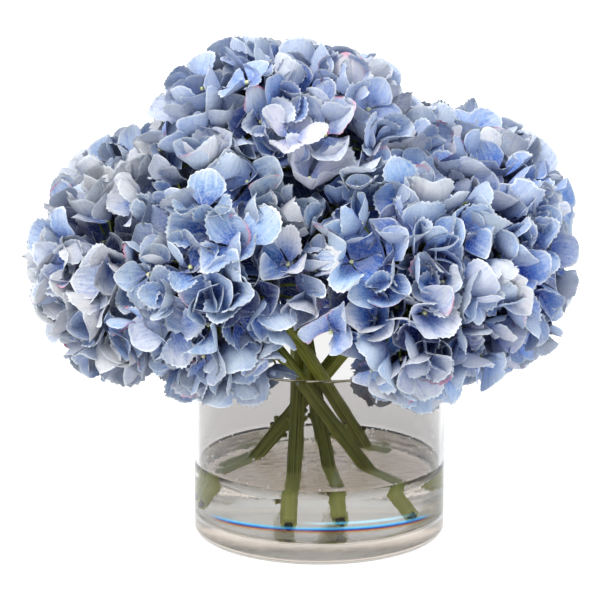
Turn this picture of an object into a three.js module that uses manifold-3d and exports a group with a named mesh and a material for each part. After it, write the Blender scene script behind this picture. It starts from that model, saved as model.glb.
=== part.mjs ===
// Hydrangeas in a vase: eight blue mophead blooms on green stems, which cross inside a
// cylinder of clear glass that holds a little water. Millimetres, +Z up; the origin is the
// centre of the vase's base, and the front of the arrangement faces -Y.
import * as THREE from "three";
import { mergeVertices } from "three/addons/utils/BufferGeometryUtils.js";
import Module from "manifold-3d";

const wasm = await Module();
wasm.setup();

// Driving dimensions
const clearance = 0.35; // between pieces that touch or nearly touch
const petalClearance = 0.7; // between petals and the stems and glass that they keep clear of

const vase = {
  radius: 75,
  height: 111,
  wall: 3,
  floor: 12, // thickness of the glass base
  footRound: 4,
  floorRound: 3,
  rimRound: 1.2,
  sides: 40,
};

const water = { level: 44, meniscusRise: 1.2, meniscusWidth: 3 };

const stem = {
  radius: 4.1,
  sides: 8,
  steps: 8,
  straightTo: 111, // a stem is straight from its foot up to this height
  leanDip: 0.66, // the lower edge of a leaning stem's cut end, as a share of its radius
  wallClearance: 1.4, // between a stem's end and the inside of the glass
  socketDepth: 14, // how far the stem runs into the bloom's core
  pithRadius: 1.6,
  pithDepth: 5,
};

const leafJoint = { radius: 4.9, topRadius: 4.5, length: 4.2, sides: 6 };

const branch = {
  count: 3,
  rootRadius: 1.7,
  tipRadius: 1.2,
  sides: 4,
  spreads: [27, 20, 13], // degrees from the stem, the widest that keeps clear of the next bloom
  drop: 12, // from the core down to where the branches leave the stem
  gap: 1.2, // from a branch's tip to the core
  planeMargin: 3, // from a branch's tip to the plane between two blooms
};

const core = { share: 0.64, detail: 1 }; // the core's radius as a share of the bloom's

const floret = {
  petals: 4,
  notchRadius: 5,
  shoulderAlong: 16,
  shoulderAcross: 12,
  tipAlong: 24.5,
  thickness: 0.9,
  sink: 4.5, // its foot lies this far inside the core
  notchLift: 8.5, // over the core
  shoulderLift: 13.5,
  tipLift: 16.5,
  liftSpread: 3.5,
  tilt: 12, // degrees
  lastPolar: 128, // degrees from the bloom's axis down to the last ring of florets
};

// Petals that reach this near the plane between two blooms bend away from it.
const crowding = { softness: 9, margin: 0.95, anchorMargin: 3 };

// Each bloom: the centre of its ball and its radius over the petals. Its stem stands where
// it enters the water and where it passes the rim, both as [x, y], and bends from there
// towards its bloom: elbow is how far on the bend's corner lies.
const blooms = {
  top: {
    centre: [-19, 0, 236], radius: 67, seed: 11,
    atWater: [-15, -32], atRim: [-11.5, 4], elbow: 60, jointHeight: 72,
  },
  front_left: {
    centre: [-53, -62, 165], radius: 67, seed: 22,
    atWater: [28, 23], atRim: [-6, -23], elbow: 30, jointHeight: 54,
  },
  front_right: {
    centre: [48, -64, 161], radius: 67, seed: 33,
    atWater: [-37.5, 2], atRim: [17.5, 20.5], elbow: 26, jointHeight: 62,
  },
  left: {
    centre: [-109, -20, 153], radius: 67, seed: 44,
    atWater: [28, -24], atRim: [-22, -17], elbow: 30, jointHeight: 66,
  },
  right: {
    centre: [92, -12, 164], radius: 67, seed: 55,
    atWater: [-35, 15], atRim: [24, 31], elbow: 34, jointHeight: 55,
  },
  back_left: {
    centre: [-90, 54, 187], radius: 65, seed: 66,
    atWater: [2, 37], atRim: [-10, 52], elbow: 30, jointHeight: 58,
  },
  back_right: {
    centre: [80, 58, 193], radius: 65, seed: 77,
    atWater: [-13.6, 27], atRim: [-13, 41], elbow: 30, jointHeight: 63,
  },
  back: {
    centre: [-8, 88, 186], radius: 65, seed: 88,
    atWater: [5.5, -20], atRim: [-7, 15], elbow: 40, jointHeight: 88,
  },
};
const floretsPerBall = 23; // as many as would cover a whole ball, with none left out

const radians = THREE.MathUtils.degToRad;
const up = new THREE.Vector3(0, 0, 1);

// A repeatable random number from low to high.
function seededRandom(seed) {
  let state = seed * 2654435761;
  return (low, high) => {
    state = (state + 0x6d2b79f5) | 0;
    let mixed = Math.imul(state ^ (state >>> 15), 1 | state);
    mixed = (mixed + Math.imul(mixed ^ (mixed >>> 7), 61 | mixed)) ^ mixed;
    const share = ((mixed ^ (mixed >>> 14)) >>> 0) / 4294967296;
    return low + (high - low) * share;
  };
}

// A closed geometry as a solid that can be joined and cut, its faces turned to point out.
function solidOf(geometry) {
  const bare = new THREE.BufferGeometry();
  bare.setAttribute("position", geometry.getAttribute("position"));
  bare.setIndex(geometry.index);
  const merged = mergeVertices(bare, 1e-4);
  const vertProperties = new Float32Array(merged.attributes.position.array);
  const triVerts = new Uint32Array(merged.index.array);
  const kept = [];
  for (let i = 0; i < triVerts.length; i += 3) {
    const [a, b, c] = triVerts.subarray(i, i + 3);
    if (a !== b && b !== c && a !== c) kept.push(a, b, c);
  }
  const made = new wasm.Manifold(
    new wasm.Mesh({ numProp: 3, vertProperties, triVerts: new Uint32Array(kept) }),
  );
  if (made.volume() > 0) return made;
  const turned = [];
  for (let i = 0; i < kept.length; i += 3) turned.push(kept[i], kept[i + 2], kept[i + 1]);
  return new wasm.Manifold(
    new wasm.Mesh({ numProp: 3, vertProperties, triVerts: new Uint32Array(turned) }),
  );
}

// The largest body of a solid, with any hollow that joining sealed inside it filled.
function mainBody(solid) {
  const bodies = solid.decompose();
  return bodies.reduce((best, body) => (body.volume() > best.volume() ? body : best));
}

function geometryOf(solid) {
  const mesh = solid.getMesh();
  const positions = new Float32Array(mesh.numVert * 3);
  for (let i = 0; i < mesh.numVert; i++) {
    positions.set(mesh.vertProperties.subarray(i * mesh.numProp, i * mesh.numProp + 3), i * 3);
  }
  const geometry = new THREE.BufferGeometry();
  geometry.setAttribute("position", new THREE.BufferAttribute(positions, 3));
  geometry.setIndex(new THREE.BufferAttribute(new Uint32Array(mesh.triVerts), 1));
  geometry.computeVertexNormals();
  return geometry;
}

// A round body about the Z axis from its [radius, height] profile.
function turned(profile, sides) {
  const points = profile.map(([radius, height]) => new THREE.Vector2(radius, height));
  return new THREE.LatheGeometry(points, sides).rotateX(Math.PI / 2);
}

// A straight round rod from one point to another.
function rod(from, to, fromRadius, toRadius, sides) {
  const along = to.clone().sub(from);
  const geometry = new THREE.CylinderGeometry(toRadius, fromRadius, along.length(), sides);
  geometry.applyQuaternion(
    new THREE.Quaternion().setFromUnitVectors(new THREE.Vector3(0, 1, 0), along.clone().normalize()),
  );
  geometry.translate(...from.clone().addScaledVector(along, 0.5).toArray());
  return geometry;
}

// The vase: a straight cylinder with a thick base, a rounded foot and a softened rim.
// grow makes the same shape a little fatter, as the room that petals keep clear of.
function vaseProfile(grow) {
  const outer = vase.radius + grow;
  const inner = vase.radius - vase.wall - grow;
  const top = vase.height + grow;
  const floor = vase.floor + grow;
  return [
    [0, -grow],
    [outer - vase.footRound, -grow],
    [outer - vase.footRound * 0.3, vase.footRound * 0.3 - grow],
    [outer, vase.footRound],
    [outer, top - vase.rimRound],
    [outer - vase.rimRound * 0.6, top],
    [inner + vase.rimRound * 0.6, top],
    [inner, top - vase.rimRound],
    [inner, floor + vase.floorRound],
    [inner - vase.floorRound, floor],
    [0, floor],
  ];
}

// The water: it fills the vase's foot and climbs a little where it meets the glass.
function waterProfile() {
  const outer = vase.radius - vase.wall - clearance;
  const bottom = vase.floor + clearance;
  return [
    [0, bottom],
    [outer - vase.floorRound, bottom],
    [outer, bottom + vase.floorRound],
    [outer, water.level + water.meniscusRise],
    [outer - water.meniscusWidth * 0.4, water.level + water.meniscusRise * 0.25],
    [outer - water.meniscusWidth, water.level],
    [0, water.level],
  ];
}

// Where a bloom's stem runs: straight up from its foot past the rim, then in a bend to its
// core. The foot stands on the glass floor, or leans on the wall where it meets that first.
function stemRoute(name) {
  const bloom = blooms[name];
  const centre = new THREE.Vector3(...bloom.centre);
  const atWater = new THREE.Vector3(...bloom.atWater, water.level);
  const waist = new THREE.Vector3(...bloom.atRim, stem.straightTo);
  const rise = waist.clone().sub(atWater).normalize();
  const footHeight = vase.floor + clearance + stem.radius * stem.leanDip;
  const foot = atWater.clone().addScaledVector(rise, (footHeight - water.level) / rise.z);
  const reach = vase.radius - vase.wall - stem.radius - stem.wallClearance;
  while (Math.hypot(foot.x, foot.y) > reach) foot.addScaledVector(rise, 0.5);
  const elbow = waist.clone().addScaledVector(rise, bloom.elbow);
  const axis = centre.clone().sub(elbow).normalize();
  const coreRadius = bloom.radius * core.share;
  const end = centre.clone().addScaledVector(axis, stem.socketDepth - coreRadius);
  return { centre, coreRadius, foot, waist, rise, elbow, axis, end };
}

// The round body of a stem along its route, grown by grow all round and at both ends.
function stemTube(route, grow) {
  const radius = stem.radius + grow;
  const section = new THREE.Shape();
  for (let i = 0; i < stem.sides; i++) {
    const angle = (2 * Math.PI * (i + 0.5)) / stem.sides;
    const move = i === 0 ? "moveTo" : "lineTo";
    section[move](radius * Math.cos(angle), radius * Math.sin(angle));
  }
  const start = route.foot.clone().addScaledVector(route.rise, -grow);
  const end = route.end.clone().addScaledVector(route.axis, grow);
  const path = new THREE.CurvePath();
  path.add(new THREE.LineCurve3(start, route.waist));
  path.add(new THREE.QuadraticBezierCurve3(route.waist, route.elbow, end));
  return solidOf(new THREE.ExtrudeGeometry(section, { steps: stem.steps, extrudePath: path }));
}

// The plain hole that a stem stands in, from below its foot to its waist, above the water.
function stemHole(route) {
  const below = route.foot.clone().addScaledVector(route.rise, -8);
  const radius = (stem.radius + clearance) / Math.cos(Math.PI / stem.sides);
  return solidOf(rod(below, route.waist, radius, radius, stem.sides));
}

// The swollen joint where a pair of leaves was cut off.
function leafJointOn(route, height) {
  const share = (height - route.foot.z) / (route.waist.z - route.foot.z);
  const middle = route.foot.clone().lerp(route.waist, share);
  const half = route.rise.clone().multiplyScalar(leafJoint.length / 2);
  const low = middle.clone().sub(half);
  const high = middle.clone().add(half);
  return solidOf(rod(low, high, leafJoint.radius, leafJoint.topRadius, leafJoint.sides));
}

// The short branches that fan out from the stem to the underside of the bloom's core.
function branchesOn(route, planes, random) {
  const root = route.centre.clone().addScaledVector(route.axis, -route.coreRadius - branch.drop);
  const across = new THREE.Vector3().crossVectors(route.axis, up).normalize();
  const rods = [];
  for (let i = 0; i < branch.count; i++) {
    const turn = (2 * Math.PI * (i + random(-0.15, 0.15))) / branch.count;
    const around = across.clone().applyAxisAngle(route.axis, turn);
    const tips = branch.spreads.map((degrees) => {
      const towards = route.axis.clone().multiplyScalar(-Math.cos(radians(degrees)));
      towards.addScaledVector(around, Math.sin(radians(degrees)));
      return route.centre.clone().addScaledVector(towards, route.coreRadius + branch.gap);
    });
    const isClear = (point) => planes.every((plane) => beyond(plane, point) < -branch.planeMargin);
    const tip = tips.find(isClear);
    if (tip) rods.push(solidOf(rod(root, tip, branch.rootRadius, branch.tipRadius, branch.sides)));
  }
  return rods.reduce((all, one) => all.add(one));
}

function stemSolid(name) {
  const route = stemRoute(name);
  const random = seededRandom(blooms[name].seed + 500);
  const pithEnd = route.foot.clone().addScaledVector(route.rise, stem.pithDepth);
  const pithStart = route.foot.clone().addScaledVector(route.rise, -1);
  const pith = rod(pithStart, pithEnd, stem.pithRadius, stem.pithRadius * 0.8, 6);
  return stemTube(route, 0)
    .add(leafJointOn(route, blooms[name].jointHeight))
    .add(branchesOn(route, partingPlanes(name), random))
    .subtract(solidOf(pith));
}

// The planes that part a bloom from its neighbours: none of it passes them.
function partingPlanes(name) {
  const own = blooms[name];
  const centre = new THREE.Vector3(...own.centre);
  const planes = [];
  for (const [other, { centre: place, radius }] of Object.entries(blooms)) {
    if (other === name) continue;
    const towards = new THREE.Vector3(...place).sub(centre);
    const distance = towards.length();
    if (distance > own.radius + radius + floret.thickness) continue;
    const share = 0.5 + (own.radius ** 2 - radius ** 2) / (2 * distance ** 2);
    const point = centre.clone().addScaledVector(towards, share);
    planes.push({ normal: towards.clone().normalize(), point });
  }
  return planes;
}

function beyond(plane, point) {
  return plane.normal.dot(point.clone().sub(plane.point));
}

// Presses a point back so that it stays on its own side of every plane.
function bendClear(point, planes) {
  const { softness, margin } = crowding;
  for (const plane of planes) {
    const depth = beyond(plane, point);
    if (depth <= -softness) continue;
    const room = softness - margin;
    const pressed = -margin - room * Math.exp(-(depth + softness) / room);
    point.addScaledVector(plane.normal, pressed - depth);
  }
  return point;
}

// The middle surface of one floret, standing on the core at height 0: its heart, then the
// outline of its four broad petals. Each petal has a notch, a shoulder, a tip and a shoulder.
function floretOutline(random) {
  const points = [new THREE.Vector3(0, 0, floret.notchLift - 1)];
  for (let k = 0; k < floret.petals; k++) {
    const turn = (2 * Math.PI * k) / floret.petals;
    const lift = random(-floret.liftSpread, floret.liftSpread);
    const length = random(0.94, 1.06);
    const lean = random(-1, 1);
    const petal = [
      [floret.notchRadius * Math.SQRT1_2, -floret.notchRadius * Math.SQRT1_2, floret.notchLift],
      [floret.shoulderAlong, -floret.shoulderAcross, floret.shoulderLift + lift * 0.6 - lean],
      [floret.tipAlong * length, 0, floret.tipLift + lift],
      [floret.shoulderAlong, floret.shoulderAcross, floret.shoulderLift + lift * 0.6 + lean],
    ];
    for (const [along, across, rise] of petal) {
      points.push(new THREE.Vector3(along, across, rise).applyAxisAngle(up, turn));
    }
  }
  return points;
}

// A closed floret from its middle surface: both faces are split into the same triangles, and
// the underside runs down to a pointed foot.
function floretGeometry(points, foot) {
  const count = points.length - 1;
  const faces = [];
  for (let first = 1; first <= count; first += 4) {
    const next = first + 4 > count ? 1 : first + 4;
    faces.push([0, first, next], [first, first + 1, next]);
    faces.push([first + 1, first + 3, next], [first + 1, first + 2, first + 3]);
  }
  const normals = points.map(() => new THREE.Vector3());
  for (const [a, b, c] of faces) {
    const normal = points[b].clone().sub(points[a]).cross(points[c].clone().sub(points[a]));
    for (const corner of [a, b, c]) normals[corner].add(normal);
  }
  const positions = [];
  for (const side of [0.5, -0.5]) {
    points.forEach((point, i) => {
      const offset = normals[i].clone().normalize().multiplyScalar(side * floret.thickness);
      positions.push(...(side < 0 && i === 0 ? foot : point.clone().add(offset)).toArray());
    });
  }
  const index = [];
  const under = points.length;
  for (const [a, b, c] of faces) index.push(a, b, c, under + a, under + c, under + b);
  for (let i = 1; i <= count; i++) {
    const next = (i % count) + 1;
    index.push(i, under + i, under + next, i, under + next, next);
  }
  const geometry = new THREE.BufferGeometry();
  geometry.setAttribute("position", new THREE.Float32BufferAttribute(positions, 3));
  geometry.setIndex(index);
  return geometry;
}

// The core: a ball of small stalks, pressed in where the neighbouring blooms stand.
function coreOf(route, planes) {
  const ball = new THREE.IcosahedronGeometry(route.coreRadius, core.detail);
  ball.deleteAttribute("normal");
  ball.deleteAttribute("uv");
  const geometry = mergeVertices(ball, 1e-3);
  geometry.translate(...route.centre.toArray());
  const place = geometry.attributes.position;
  const point = new THREE.Vector3();
  for (let i = 0; i < place.count; i++) {
    bendClear(point.fromBufferAttribute(place, i), planes);
    place.setXYZ(i, point.x, point.y, point.z);
  }
  return solidOf(geometry);
}

// One floret standing on the core along a direction. Of a few turns and leans, it takes the
// one that keeps clear of the other pieces and crosses the florets already there the least.
function placedFloret(route, direction, planes, keepOut, bloom, random) {
  const outline = floretOutline(random);
  const firstSpin = random(0, Math.PI / 2);
  const leanAxis = new THREE.Vector3(random(-1, 1), random(-1, 1), random(-1, 1)).normalize();
  const firstLean = random(-floret.tilt, floret.tilt);
  const rest = new THREE.Quaternion().setFromUnitVectors(up, direction);
  const place = (point) => point.add(route.centre).addScaledVector(direction, route.coreRadius);
  const foot = place(new THREE.Vector3(0, 0, -floret.sink).applyQuaternion(rest));
  let best = null;
  let leastCrossing = Infinity;
  for (const size of [1, 0.86, 0.72]) {
    for (let attempt = 0; attempt < 12; attempt++) {
      const spin = firstSpin + (attempt % 4) * (Math.PI / 8);
      const lean = radians(firstLean + [0, 9, -9][attempt % 3]);
      const turn = new THREE.Quaternion().setFromAxisAngle(leanAxis, lean).multiply(rest);
      const points = outline.map((point) => {
        const placed = point.clone().multiplyScalar(size).applyAxisAngle(up, spin);
        return bendClear(place(placed.applyQuaternion(turn)), planes);
      });
      const solid = solidOf(floretGeometry(points, foot));
      if (keepOut.some((body) => body.intersect(solid).volume() > 1e-6)) continue;
      const crossing = bloom.intersect(solid).volume();
      if (crossing < leastCrossing) {
        leastCrossing = crossing;
        best = solid;
      }
    }
    if (best) return best;
  }
  return best;
}

// A mophead bloom: a core with florets spread evenly over it, down to its last ring.
function bloomSolid(name, keepOut) {
  const route = stemRoute(name);
  const random = seededRandom(blooms[name].seed);
  const planes = partingPlanes(name);
  const toAxis = new THREE.Quaternion().setFromUnitVectors(up, route.axis);
  const goldenAngle = Math.PI * (3 - Math.sqrt(5));
  let solid = coreOf(route, planes);
  for (let i = 0; i < floretsPerBall; i++) {
    const polar = Math.acos(1 - (2 * (i + 0.5)) / floretsPerBall) + radians(random(-4, 4));
    if (polar > radians(floret.lastPolar)) continue;
    const around = i * goldenAngle + random(-0.12, 0.12);
    const direction = new THREE.Vector3(
      Math.sin(polar) * Math.cos(around),
      Math.sin(polar) * Math.sin(around),
      Math.cos(polar),
    ).applyQuaternion(toAxis);
    const anchor = route.centre.clone().addScaledVector(direction, route.coreRadius);
    if (planes.some((plane) => beyond(plane, anchor) > -crowding.anchorMargin)) continue;
    const placed = placedFloret(route, direction, planes, keepOut, solid, random);
    if (placed) solid = solid.add(placed);
  }
  const socket = stemTube(route, clearance);
  return mainBody(solid.subtract(socket));
}

// Materials
const glass = { color: 0xf2f5f5, roughness: 0.03, metalness: 0, transparent: true, opacity: 0.3 };
const wet = { color: 0xdfe8e6, roughness: 0.02, metalness: 0, transparent: true, opacity: 0.4 };
const green = { color: 0x66733a, roughness: 0.6, metalness: 0 };
const petalBlues = {
  top: 0xa3b0d3,
  front_left: 0x8fa3cf,
  front_right: 0x8ea6d8,
  left: 0xa4aec4,
  right: 0x93abdc,
  back_left: 0x9fabc2,
  back_right: 0x9db1dc,
  back: 0x99a9cc,
};

function named(name, solid, look) {
  const mesh = new THREE.Mesh(geometryOf(solid), new THREE.MeshStandardMaterial(look));
  mesh.name = name;
  return mesh;
}

// Assembly
const arrangement = new THREE.Group();
const names = Object.keys(blooms);

arrangement.add(named("vase", solidOf(turned(vaseProfile(0), vase.sides)), glass));

const stems = new Map(names.map((name) => [name, stemSolid(name)]));
for (const name of names) arrangement.add(named(`stem_${name}`, stems.get(name), green));

let pool = solidOf(turned(waterProfile(), vase.sides));
for (const name of names) pool = pool.subtract(stemHole(stemRoute(name)));
arrangement.add(named("water", mainBody(pool), wet));

const keepOut = [solidOf(turned(vaseProfile(petalClearance), vase.sides)), ...stems.values()];
for (const name of names) keepOut.push(stemTube(stemRoute(name), petalClearance));
for (const name of names) {
  const look = { color: petalBlues[name], roughness: 0.75, metalness: 0, side: THREE.DoubleSide };
  arrangement.add(named(`bloom_${name}`, bloomSolid(name, keepOut), look));
}

export default arrangement;
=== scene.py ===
import math
import random

import bmesh
import bpy
from mathutils import Matrix, Vector, kdtree, noise


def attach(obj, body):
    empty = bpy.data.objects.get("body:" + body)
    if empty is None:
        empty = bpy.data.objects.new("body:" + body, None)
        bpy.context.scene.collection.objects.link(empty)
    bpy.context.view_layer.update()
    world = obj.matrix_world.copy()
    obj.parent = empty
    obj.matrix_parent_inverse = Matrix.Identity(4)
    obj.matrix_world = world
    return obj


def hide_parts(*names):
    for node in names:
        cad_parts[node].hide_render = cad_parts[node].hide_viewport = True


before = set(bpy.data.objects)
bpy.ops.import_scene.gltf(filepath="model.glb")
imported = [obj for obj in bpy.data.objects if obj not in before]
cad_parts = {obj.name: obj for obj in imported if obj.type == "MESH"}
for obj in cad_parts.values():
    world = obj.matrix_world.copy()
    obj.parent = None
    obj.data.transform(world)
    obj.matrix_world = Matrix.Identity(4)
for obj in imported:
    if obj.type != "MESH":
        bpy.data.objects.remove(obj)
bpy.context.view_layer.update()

mm = 0.001


def linearColour(code):
    parts = [int(code[k:k + 2], 16) / 255 for k in (0, 2, 4)]
    return tuple(c / 12.92 if c <= 0.04045 else ((c + 0.055) / 1.055) ** 2.4 for c in parts) + (1.0,)


def mixColour(a, b, share):
    return tuple(x + (y - x) * share for x, y in zip(a, b))


def easeBack(depth, soft, margin):
    # a point that nears a limit is pressed back more and more, and never gets past it
    if depth <= -soft:
        return depth
    span = soft - margin
    return -margin - span * math.exp(-(depth + soft) / span)


def turnTo(direction, spin=0.0):
    # turns +Z to a direction, after a spin about it
    return direction.to_track_quat("Z", "Y").to_matrix().to_4x4() @ Matrix.Rotation(spin, 4, "Z")


def addObject(name, data):
    made = bpy.data.objects.new(name, data)
    bpy.context.scene.collection.objects.link(made)
    return made


def meshOf(bm, name):
    mesh = bpy.data.meshes.new(name)
    bm.to_mesh(mesh)
    bm.free()
    return mesh


def pourIn(bm, mesh):
    # adds a mesh to a bmesh and drops it
    bm.from_mesh(mesh)
    bpy.data.meshes.remove(mesh)


def finishPiece(bm, name, materials, node):
    mesh = meshOf(bm, name)
    for material in materials:
        mesh.materials.append(material)
    piece = addObject(name, mesh)
    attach(piece, "root")
    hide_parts(node)
    return piece


def smoothFaces(bm):
    for face in bm.faces:
        face.smooth = True


def loopEdges(ring):
    # the edges that run round a ring of vertices, always in the same order
    inRing = set(ring)
    around = dict.fromkeys(edge for vert in ring for edge in vert.link_edges)
    return [edge for edge in around if all(vert in inRing for vert in edge.verts)]


def growRing(bm, ring):
    # extrudes a ring of vertices and gives the new ring and the faces between the two
    grown = bmesh.ops.extrude_edge_only(bm, edges=loopEdges(ring))["geom"]
    return ([part for part in grown if isinstance(part, bmesh.types.BMVert)],
            [part for part in grown if isinstance(part, bmesh.types.BMFace)])


class Shader:
    # a material and short calls that add and join its nodes
    def __init__(self, name):
        self.material = bpy.data.materials.new(name)
        self.material.use_nodes = True
        self.tree = self.material.node_tree
        self.surface = self.tree.nodes["Principled BSDF"]

    def add(self, kind, values=None, **settings):
        node = self.tree.nodes.new(kind)
        for key, value in settings.items():
            setattr(node, key, value)
        for key, value in (values or {}).items():
            self.put(node.inputs[key], value)
        return node

    def put(self, socket, value):
        # joins another node's output, or sets a number, a tuple or a colour's code
        if isinstance(value, bpy.types.NodeSocket):
            self.tree.links.new(value, socket)
        else:
            socket.default_value = linearColour(value) if isinstance(value, str) else value

    def math(self, operation, a, b=0.0):
        node = self.add("ShaderNodeMath", operation=operation)
        self.put(node.inputs[0], a)
        self.put(node.inputs[1], b)
        return node.outputs[0]

    def ramp(self, value, low, high, start=0.0, end=1.0):
        node = self.add("ShaderNodeMapRange", interpolation_type="SMOOTHSTEP")
        self.put(node.inputs["Value"], value)
        for key, number in (("From Min", low), ("From Max", high), ("To Min", start), ("To Max", end)):
            self.put(node.inputs[key], number)
        return node.outputs["Result"]

    def mix(self, share, a, b, blend="MIX"):
        node = self.add("ShaderNodeMix", data_type="RGBA", blend_type=blend)
        self.put(node.inputs[0], share)
        self.put(node.inputs[6], a)
        self.put(node.inputs[7], b)
        return node.outputs[2]

    def noise(self, vector, scale, detail=2.0, roughness=0.5, distortion=0.0):
        node = self.add("ShaderNodeTexNoise")
        self.put(node.inputs["Vector"], vector)
        for key, number in (("Scale", scale), ("Detail", detail), ("Roughness", roughness),
                            ("Distortion", distortion)):
            self.put(node.inputs[key], number)
        return node.outputs["Fac"]

    def bands(self, share, ends, stops):
        # a run of colours that starts and ends with the same one
        node = self.add("ShaderNodeValToRGB", {"Fac": share})
        for element in node.color_ramp.elements:
            element.color = linearColour(ends)
        for where, code in stops:
            node.color_ramp.elements.new(where).color = linearColour(code)
        return node.outputs["Color"]

    def objectPoint(self):
        return self.add("ShaderNodeTexCoord").outputs["Object"]

    def attribute(self, name, output="Vector"):
        return self.add("ShaderNodeAttribute", attribute_name=name).outputs[output]

    def split(self, vector):
        return self.add("ShaderNodeSeparateXYZ", {"Vector": vector}).outputs

    def stretch(self, vector, scale):
        node = self.add("ShaderNodeMapping")
        self.put(node.inputs["Vector"], vector)
        node.inputs["Scale"].default_value = scale
        return node.outputs["Vector"]

    def bump(self, height, distance, strength=1.0, under=None):
        node = self.add("ShaderNodeBump", {"Height": height, "Distance": distance, "Strength": strength})
        if under is not None:
            self.put(node.inputs["Normal"], under)
        return node.outputs["Normal"]

    def set(self, **values):
        for key, value in values.items():
            self.put(self.surface.inputs[key.replace("_", " ")], value)


cameraValues = {"place": (-0.0115, -1.7, 0.5493), "pitch": 13.52, "lens": 177.2}

cameraData = bpy.data.cameras.new("camera")
cameraData.lens = cameraValues["lens"]
cameraData.sensor_width = 36
camera = addObject("camera", cameraData)
camera.location = cameraValues["place"]
camera.rotation_euler = (math.radians(90 - cameraValues["pitch"]), 0, 0)
bpy.context.scene.camera = camera
print("camera placed")


# sizes and places are those of the solid model
vaseValues = {
    "radius": 0.075, "height": 0.111, "wall": 0.003, "floor": 0.012,
    "footRound": 0.004, "floorRound": 0.003, "rimRound": 0.0012, "holdGap": 0.00025, "steps": 128,
}
waterValues = {
    "level": 0.044, "meniscusRise": 0.0004, "meniscusWidth": 0.0035, "overlap": 0.0002,
    "rings": 40, "steps": 128, "rippleHeight": 0.00014, "rippleLength": 0.0085, "rippleFade": 0.016,
    "stemRise": 0.0006, "stemRiseFade": 0.0016, "bubbleRings": (0.0012, 0.0014, 0.004, 0.009), "bubbleLift": 0.0003,
    "wallBubbles": 34, "stemBubbles": 2, "bubbleSize": (0.0005, 0.0010),
}
stemValues = {
    "radius": 0.0041, "straightTo": 0.111, "footLift": 0.00035, "leanDip": 0.66, "wallClearance": 0.0014,
    "intoHead": 0.014, "segments": 24, "ribs": 8, "ribDepth": 0.07, "cutAngle": 38, "step": 0.004,
    "jointSwell": 0.16, "jointLength": 0.0032, "stubRadius": 0.0017, "stubLength": 0.0042,
    "pithRadius": 0.0025, "pithDepth": 0.004, "taper": 0.10, "waver": 0.02, "footStep": 0.0005,
    "stubRise": 0.75, "stubSink": 0.35, "stubOut": 0.75, "stubTurn": (-0.4, 0.1), "stubFlare": (1.25, 0.8),
}
innerRadius = vaseValues["radius"] - vaseValues["wall"]
coreShare = 0.64  # how far in the solid model's core reaches, as a share of the bloom's radius
goldenAngle = 2.399963

bluePalette = ["84a0c6", "7495bc", "a3b4c9", "c4c6cf", "88a0c2", "b1b1c0", "5d81b2", "89a4c8", "d2ced3", "6f8ebb"]
rightPalette = ["7b9dce", "658fce", "93aed4", "c5c8d6", "7c9ace", "a3a9cb", "4f7ec9", "7f9fd3", "cdced7", "5e88cf"]
mixedPalette = ["97a8c5", "8096be", "b6bccc", "d3d0da", "9eabc3", "c1bcc6", "6a85b6", "9cadc7", "dad6de", "7a91bd"]
greyPalette = ["a9afbb", "8c9fbc", "b7b6c1", "c3c2c8", "8499c0", "b2aeb2", "aab0c5", "9fa8bc", "cac7cc", "7896c3"]
blooms = {
    "Top": dict(
        node="top", slot="petals_blue", centre=(-0.019, 0, 0.236), radius=0.067,
        reach=(0.070, 0.064, 0.060), square=2.4,
        atWater=(-0.015, -0.032), atRim=(-0.0115, 0.004), elbow=0.060, joint=0.072, seed=11,
        palette=mixedPalette, bright=1.62, shade=0.15, shuffle=104),
    "FrontLeft": dict(
        node="front_left", slot="petals_blue", centre=(-0.053, -0.062, 0.165), radius=0.067,
        reach=(0.062, 0.062, 0.065),
        atWater=(0.028, 0.023), atRim=(-0.006, -0.023), elbow=0.030, joint=0.054, seed=22,
        palette=bluePalette, bright=1.12, shade=1.0, shuffle=22),
    "FrontRight": dict(
        node="front_right", slot="petals_blue", centre=(0.048, -0.064, 0.161), radius=0.067,
        reach=(0.062, 0.060, 0.065),
        atWater=(-0.0375, 0.002), atRim=(0.0175, 0.0205), elbow=0.026, joint=0.062, seed=33,
        palette=bluePalette, bright=1.42, shade=1.0, shuffle=33),
    "Left": dict(
        node="left", slot="petals_grey", centre=(-0.109, -0.020, 0.153), radius=0.067,
        reach=(0.059, 0.060, 0.059), heart=(-0.109, -0.020, 0.161),
        atWater=(0.028, -0.024), atRim=(-0.022, -0.017), elbow=0.030, joint=0.066, seed=44,
        palette=greyPalette, bright=1.06, shade=0.70, shuffle=112),
    "Right": dict(
        node="right", slot="petals_blue", centre=(0.092, -0.012, 0.164), radius=0.067,
        reach=(0.055, 0.060, 0.062), heart=(0.091, -0.012, 0.167), square=2.3,
        atWater=(-0.035, 0.015), atRim=(0.024, 0.031), elbow=0.034, joint=0.055, seed=55,
        palette=rightPalette, bright=1.16, shade=0.95, shuffle=110),
    "BackLeft": dict(
        node="back_left", slot="petals_grey", centre=(-0.090, 0.054, 0.187), radius=0.065,
        reach=(0.065, 0.060, 0.045), heart=(-0.090, 0.054, 0.185), square=2.3,
        atWater=(0.002, 0.037), atRim=(-0.010, 0.052), elbow=0.030, joint=0.058, seed=66,
        palette=greyPalette, bright=1.36, shade=0.20, shuffle=102),
    "BackRight": dict(
        node="back_right", slot="petals_blue", centre=(0.080, 0.058, 0.193), radius=0.065,
        reach=(0.059, 0.058, 0.053),
        atWater=(-0.0136, 0.027), atRim=(-0.013, 0.041), elbow=0.030, joint=0.063, seed=77,
        palette=mixedPalette, bright=1.80, shade=0.15, shuffle=102),
    "Back": dict(
        node="back", slot="petals_grey", centre=(-0.008, 0.088, 0.186), radius=0.065,
        reach=(0.060, 0.060, 0.058),
        atWater=(0.0055, -0.020), atRim=(-0.007, 0.015), elbow=0.040, joint=0.088, seed=88,
        palette=greyPalette, bright=1.0, shade=0.7, shuffle=88),
}


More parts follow.
